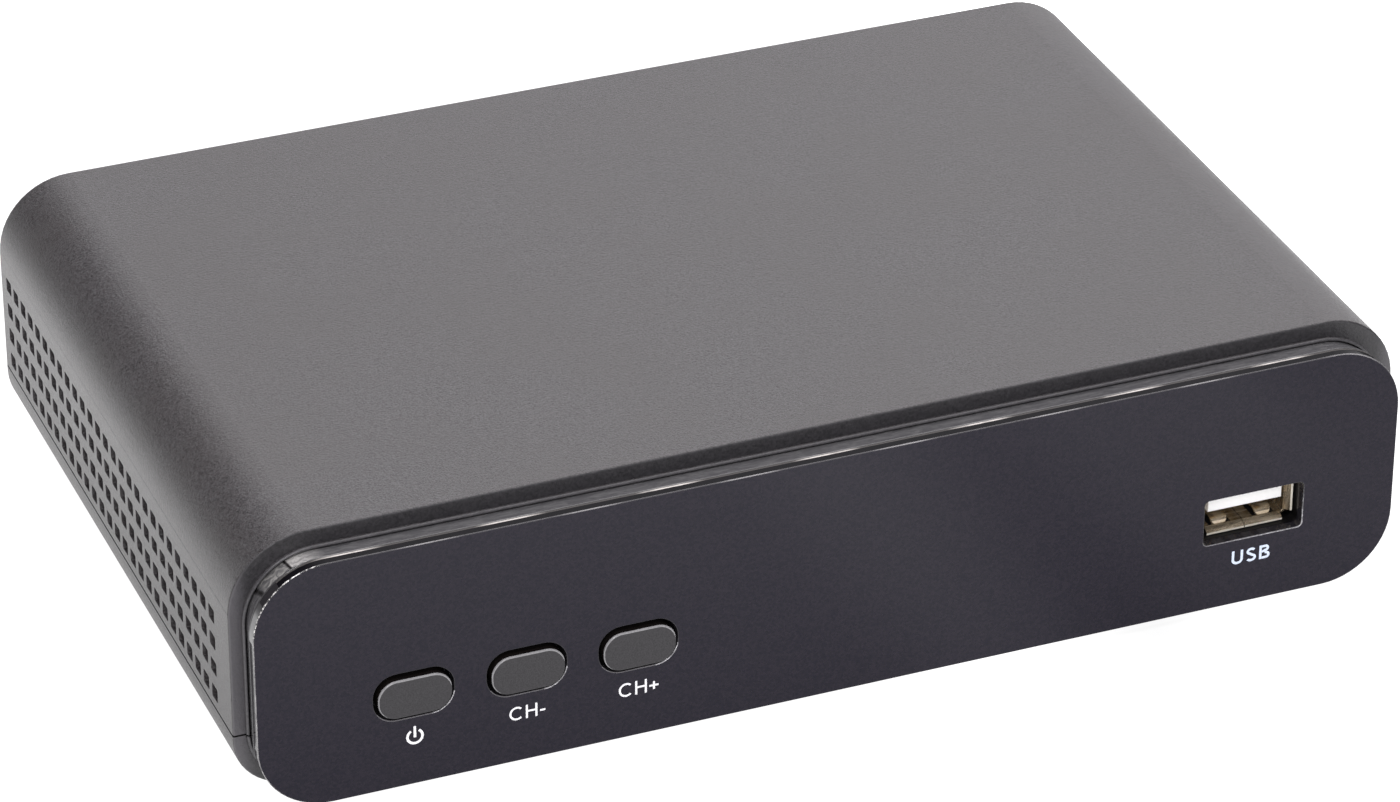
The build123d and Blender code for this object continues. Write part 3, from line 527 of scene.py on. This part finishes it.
# the sides of the buttons are polished and darker as painted shade, their top and left rims lighter as a painted
# highlight; only their tops are satin
for nm_ in ("power_button", "channel_down_button", "channel_up_button"):
    sort_faces(nm_, [
        (MATS['button_side'], lambda c, n_: abs(n_.y) < 0.02),
        (MATS['button_rim'], lambda c, n_: c.y < -0.0608 and abs(n_.y) < 0.999 and (n_.z > 0.1 or n_.x < -0.35)),
    ])

# ---------------------------------------------------------------------------
# the print behind the window, bonded to the acrylic
# ---------------------------------------------------------------------------
src = N["window_mask"].data
pm = bpy.data.meshes.new("window_print")
co = []
for v in src.vertices:
    x, y, z = v.co
    if abs(y + 0.059) < 2e-6:
        y -= 0.000012
    co.append((x, y, z))
pm.from_pydata(co, [], [tuple(q.vertices) for q in src.polygons])
pm.materials.append(MATS['mask_film'])
print_piece = bpy.data.objects.new("window_print", pm)
scene.collection.objects.link(print_piece)
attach(print_piece, "housing")
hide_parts("window_mask")

# ---------------------------------------------------------------------------
# thin black sheet between the USB socket and the board: painted shade that darkens the slots round the springs
# ---------------------------------------------------------------------------
fm = bpy.data.meshes.new("usb_slot_shade_sheet")
xs = [0.0546 + 0.0137 * i / 8 for i in range(9)]
ys = [-0.0570 + 0.0122 * i / 5 for i in range(6)]
co, fa = [], []
for z_ in (0.012403, 0.012425):
    for y_ in ys:
        for x_ in xs:
            co.append((x_, y_, z_))
n0, nx, ny = len(xs) * len(ys), len(xs), len(ys)
for j in range(ny - 1):
    for i in range(nx - 1):
        a = j * nx + i
        fa.append((a, a + nx, a + nx + 1, a + 1))
        fa.append((n0 + a, n0 + a + 1, n0 + a + nx + 1, n0 + a + nx))
ring = [i for i in range(nx)] + [j * nx + nx - 1 for j in range(1, ny)] + \
       [(ny - 1) * nx + i for i in range(nx - 2, -1, -1)] + [j * nx for j in range(ny - 2, 0, -1)]
for a, b in zip(ring, ring[1:] + ring[:1]):
    fa.append((a, b, b + n0, a + n0))
fm.from_pydata(co, [], fa)
fm.materials.append(MATS['recess_painted_shade'])
slot_shade_sheet = bpy.data.objects.new("usb_slot_shade_sheet", fm)
scene.collection.objects.link(slot_shade_sheet)
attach(slot_shade_sheet, "housing")

# ---------------------------------------------------------------------------
# printed legends, as thin strokes of ink
# ---------------------------------------------------------------------------
def arc(cx, cy, rx, ry, a0, a1, n=20):
    return [(cx + rx * math.cos(math.radians(a0 + (a1 - a0) * i / n)),
             cy + ry * math.sin(math.radians(a0 + (a1 - a0) * i / n))) for i in range(n + 1)]


def glyph(ch, t):
    """strokes of one letter in a box one unit tall; t is the stroke width. Returns width, strokes"""
    h = t / 2
    if ch == 'C':
        return 0.88, [arc(0.47, 0.5, 0.47 - h, 0.5 - h, 46, 314, 28)]
    if ch == 'O':
        return 0.84, [arc(0.42, 0.5, 0.42 - h, 0.5 - h, 90, 450, 36)]
    if ch == 'H':
        return 0.74, [[(h, 0), (h, 1)], [(0.74 - h, 0), (0.74 - h, 1)], [(t, 0.52), (0.74 - t, 0.52)]]
    if ch == 'U':
        return 0.74, [[(h, 1)] + arc(0.37, 0.33, 0.37 - h, 0.33 - h, 180, 360, 20) + [(0.74 - h, 1)]]
    if ch == 'S':
        top = arc(0.34, 0.735, 0.31 - h, 0.265 - h, 30, 250, 18)
        bot = arc(0.34, 0.275, 0.34 - h, 0.275 - h, 70, -150, 18)
        return 0.68, [top + bot]
    if ch == 'B':
        up_ = [(t, 1 - h)] + arc(0.40, 0.76, 0.24 - h, 0.24 - h, 90, -90, 14) + [(t, 0.52)]
        lo = [(0.42, 0.52)] + arc(0.44, 0.26, 0.26 - h, 0.26 - h, 90, -90, 14) + [(t, h)]
        return 0.70, [[(h, 0), (h, 1)], up_, lo]
    if ch == 'D':
        return 0.76, [[(h, 0), (h, 1)], [(t, 1 - h)] + arc(0.34, 0.5, 0.42 - h, 0.5 - h, 90, -90, 20) + [(t, h)]]
    if ch == 'A':
        return 0.78, [[(h * 0.7, 0), (0.39, 1 - h * 0.4), (0.78 - h * 0.7, 0)], [(0.20, 0.30), (0.58, 0.30)]]
    if ch == 'V':
        return 0.76, [[(h * 0.7, 1), (0.38, h * 0.4), (0.76 - h * 0.7, 1)]]
    if ch == 'N':
        return 0.76, [[(h, 0), (h, 1 - h * 0.1), (0.76 - h, h * 0.1), (0.76 - h, 1)]]
    if ch == 'T':
        return 0.70, [[(0, 1 - h), (0.70, 1 - h)], [(0.35, 1 - t), (0.35, 0)]]
    if ch == 'I':
        return t, [[(h, 0), (h, 1)]]
    if ch == 'E':
        return 0.60, [[(h, 0), (h, 1)], [(t, 1 - h), (0.60, 1 - h)], [(t, 0.52), (0.56, 0.52)], [(t, h), (0.60, h)]]
    if ch == '1':
        return 0.40, [[(0.0, 0.78), (0.40 - h, 0.97), (0.40 - h, 0)]]
    if ch == '2':
        return 0.62, [arc(0.31, 0.70, 0.31 - h, 0.30 - h, 165, -25, 18) + [(h * 1.2, h), (0.62, h)]]
    if ch == '+':
        return 0.58, [[(0, 0.42), (0.58, 0.42)], [(0.29, 0.42 + h), (0.29, 0.71)], [(0.29, 0.42 - h), (0.29, 0.13)]]
    if ch == '-':
        return 0.34, [[(0, 0.38), (0.34, 0.38)]]
    return 0.40, []


def ribbon(verts, faces, pts, w, y0, y1, flip, closed=False):
    """closed slab of width w along pts, between the planes y0 (outer) and y1"""
    n = len(pts)
    left, right = [], []
    for i in range(n):
        a = pts[i - 1] if (i > 0 or closed) else None
        b = pts[(i + 1) % n] if (i < n - 1 or closed) else None
        if closed and i == 0:
            a = pts[-1]
        d1 = Vector((pts[i][0] - a[0], pts[i][1] - a[1])).normalized() if a is not None else None
        d2 = Vector((b[0] - pts[i][0], b[1] - pts[i][1])).normalized() if b is not None else None
        if d1 is None:
            d1 = d2
        if d2 is None:
            d2 = d1
        n1, n2 = Vector((-d1.y, d1.x)), Vector((-d2.y, d2.x))
        mid = (n1 + n2).normalized()
        s = min(1.0 / max(mid.dot(n1), 0.35), 2.2)
        o = mid * (w / 2 * s)
        left.append((pts[i][0] + o.x, pts[i][1] + o.y))
        right.append((pts[i][0] - o.x, pts[i][1] - o.y))
    base = len(verts)
    for (lx, lz), (rx, rz) in zip(left, right):
        verts += [(lx, y0, lz), (rx, y0, rz), (rx, y1, rz), (lx, y1, lz)]
    last = n if closed else n - 1
    for i in range(last):
        a, b = base + 4 * i, base + 4 * ((i + 1) % n)
        for j in range(4):
            q = (a + j, a + (j + 1) % 4, b + (j + 1) % 4, b + j)
            faces.append(q if not flip else q[::-1])
    if not closed:
        e = base + 4 * (n - 1)
        q0, q1 = (base + 3, base + 2, base + 1, base), (e, e + 1, e + 2, e + 3)
        faces.append(q0 if not flip else q0[::-1])
        faces.append(q1 if not flip else q1[::-1])


def legend(name, strokes, w, y0, y1, body, mat, mirror_x=False):
    verts, faces = [], []
    for pts, closed in strokes:
        if mirror_x:
            pts = [(-x, z) for x, z in pts]
        ribbon(verts, faces, pts, w, y0, y1, mirror_x, closed)
    me = bpy.data.meshes.new(name)
    me.from_pydata([(x / 1000, y / 1000, z / 1000) for x, y, z in verts], [], faces)
    me.validate()
    me.materials.append(mat)
    o = bpy.data.objects.new(name, me)
    scene.collection.objects.link(o)
    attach(o, body)
    return o


def words(text, x0, x1, z0, z1, w, gap=0.20):
    """strokes of a line of capitals that fills the box x0..x1, z0..z1"""
    h = z1 - z0
    t = w / h
    parts, x = [], 0.0
    for ch in text:
        gw, strokes = glyph(ch, t)
        for s in strokes:
            parts.append([(x + px, pz) for px, pz in s])
        x += gw + gap
    total = x - gap
    sx = (x1 - x0) / total
    return [([(x0 + px * sx, z0 + pz * h) for px, pz in s], False) for s in parts]


mat, k, p = material("legend_white_ink", roughness=0.5)
k.put(p['Base Color'], k.mix(k.noise(4000.0, 2.0), (0.86, 0.86, 0.89), (0.94, 0.94, 0.96)))
INK = mat
mat, k, p = material("legend_cool_white_ink", roughness=0.5)
k.put(p['Base Color'], k.mix(k.noise(4000.0, 2.0), (0.62, 0.70, 0.86), (0.72, 0.80, 0.95)))
INK2 = mat
YF = -60.5
ZO = 1.65
pwr = [(arc(-61.3, ZO + 7.15, 1.05, 1.05, 122, 418, 30), False),
       ([(-61.3, ZO + 8.75), (-61.3, ZO + 7.0)], False)]
legend("power_legend", pwr, 0.36, YF - 0.012, YF + 0.01, "housing", INK)
legend("channel_down_legend", words("CH-", -48.05, -42.95, ZO + 6.2, ZO + 8.3, 0.29, 0.16), 0.29, YF - 0.012, YF + 0.01, "housing", INK)
legend("channel_up_legend", words("CH+", -32.5, -26.8, ZO + 6.15, ZO + 8.3, 0.29, 0.16), 0.29, YF - 0.012, YF + 0.01, "housing", INK)
legend("usb_legend", words("USB", 58.4, 64.3, ZO + 6.1, ZO + 8.3, 0.38, 0.18), 0.38, YF - 0.012, YF + 0.01, "housing", INK2)

mat, k, p = material("rear_label_ink", roughness=0.6)
k.put(p['Base Color'], k.mix(k.noise(4000.0, 2.0), (0.52, 0.52, 0.53), (0.62, 0.62, 0.62)))
RINK = mat
YB = 48.6
for nm, text, xc, width, z0, z1 in (
        ("antenna_label", "ANT IN", -48.0, 8.4, 29.0, 30.8), ("video_label", "AV", -16.0, 2.8, 22.0, 23.8),
        ("audio_label", "AUDIO", 2.0, 7.4, 29.0, 30.8), ("port_label", "VIDEO", 24.0, 7.4, 22.0, 23.8),
        ("power_label", "DC IN 12V", 52.0, 12.4, 27.0, 28.8)):
    # seen from behind, so the row reads from +x to -x
    st = words(text, -xc - width / 2, -xc + width / 2, z0, z1, 0.26)
    legend(nm, st, 0.26, YB + 0.012, YB - 0.01, "housing", RINK, mirror_x=True)
